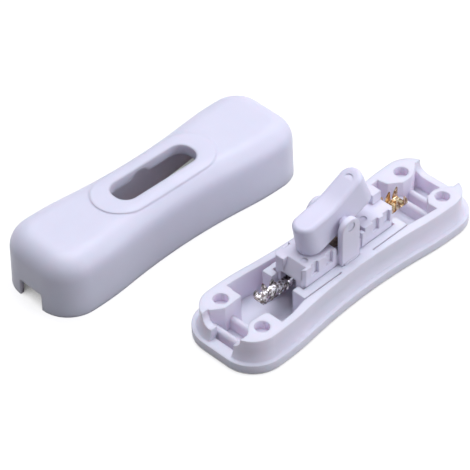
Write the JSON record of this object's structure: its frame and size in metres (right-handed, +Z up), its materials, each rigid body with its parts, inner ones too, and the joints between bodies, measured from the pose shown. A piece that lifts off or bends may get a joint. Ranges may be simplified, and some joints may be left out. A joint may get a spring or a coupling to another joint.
{
  "type": "inline cord switch",
  "caption": "Rocker switch for a lamp cord, opened: the waisted base with its white switch insert, and beside it the cover with a rocker slot and cord notches.",
  "frame": {"origin": "middle of the underside of the base", "axes": "+X along the base towards the end with the closed end wall, +Y towards the cover that lies beside it, +Z up"},
  "size_m": [0.1014, 0.0734, 0.0296],
  "materials": {
    "base": "satin moulded",
    "cover": "satin moulded",
    "insert": "moulded",
    "rocker": "satin moulded",
    "plunger": "moulded",
    "spring": "drawn wire",
    "contact_strip": "stamped",
    "contact_metal": "struck silver",
    "tinned": "tinned",
    "brass": "stamped"
  },
  "bodies": {
    "housing": {"base": "base", "cover": "cover", "insert_body": "insert", "insert_floor": "insert", "line_terminal": "tinned", "load_terminal": "brass", "fixed_contact": "contact_metal"},
    "rocker": {"rocker": "rocker", "plunger_spring": "spring"},
    "plunger": {"plunger": "plunger"},
    "rocking_contact": {"rocking_contact": "contact_strip", "moving_contact": "contact_metal"}
  },
  "joints": [
    {"name": "rocker_turn", "type": "hinge", "parent": "housing", "child": "rocker", "pos_m": [-0.00095, 0, 0.0201], "axis": [0, 1, 0], "range_deg": [0, 33]},
    {"name": "plunger_slide", "type": "slide", "parent": "rocker", "child": "plunger", "axis": [-0.284, 0, 0.9588], "range_m": [0, 0.0006], "stiffness_N_per_m": 400, "springref_m": -0.001, "deforming": ["plunger_spring"]},
    {"name": "contact_turn", "type": "hinge", "parent": "housing", "child": "rocking_contact", "pos_m": [-0.00095, 0, 0.01055], "axis": [0, 1, 0], "range_deg": [-10, 0]}
  ],
  "couplings": [
    {"joint": "contact_turn", "follows": "rocker_turn", "ratio": -0.30303}
  ]
}
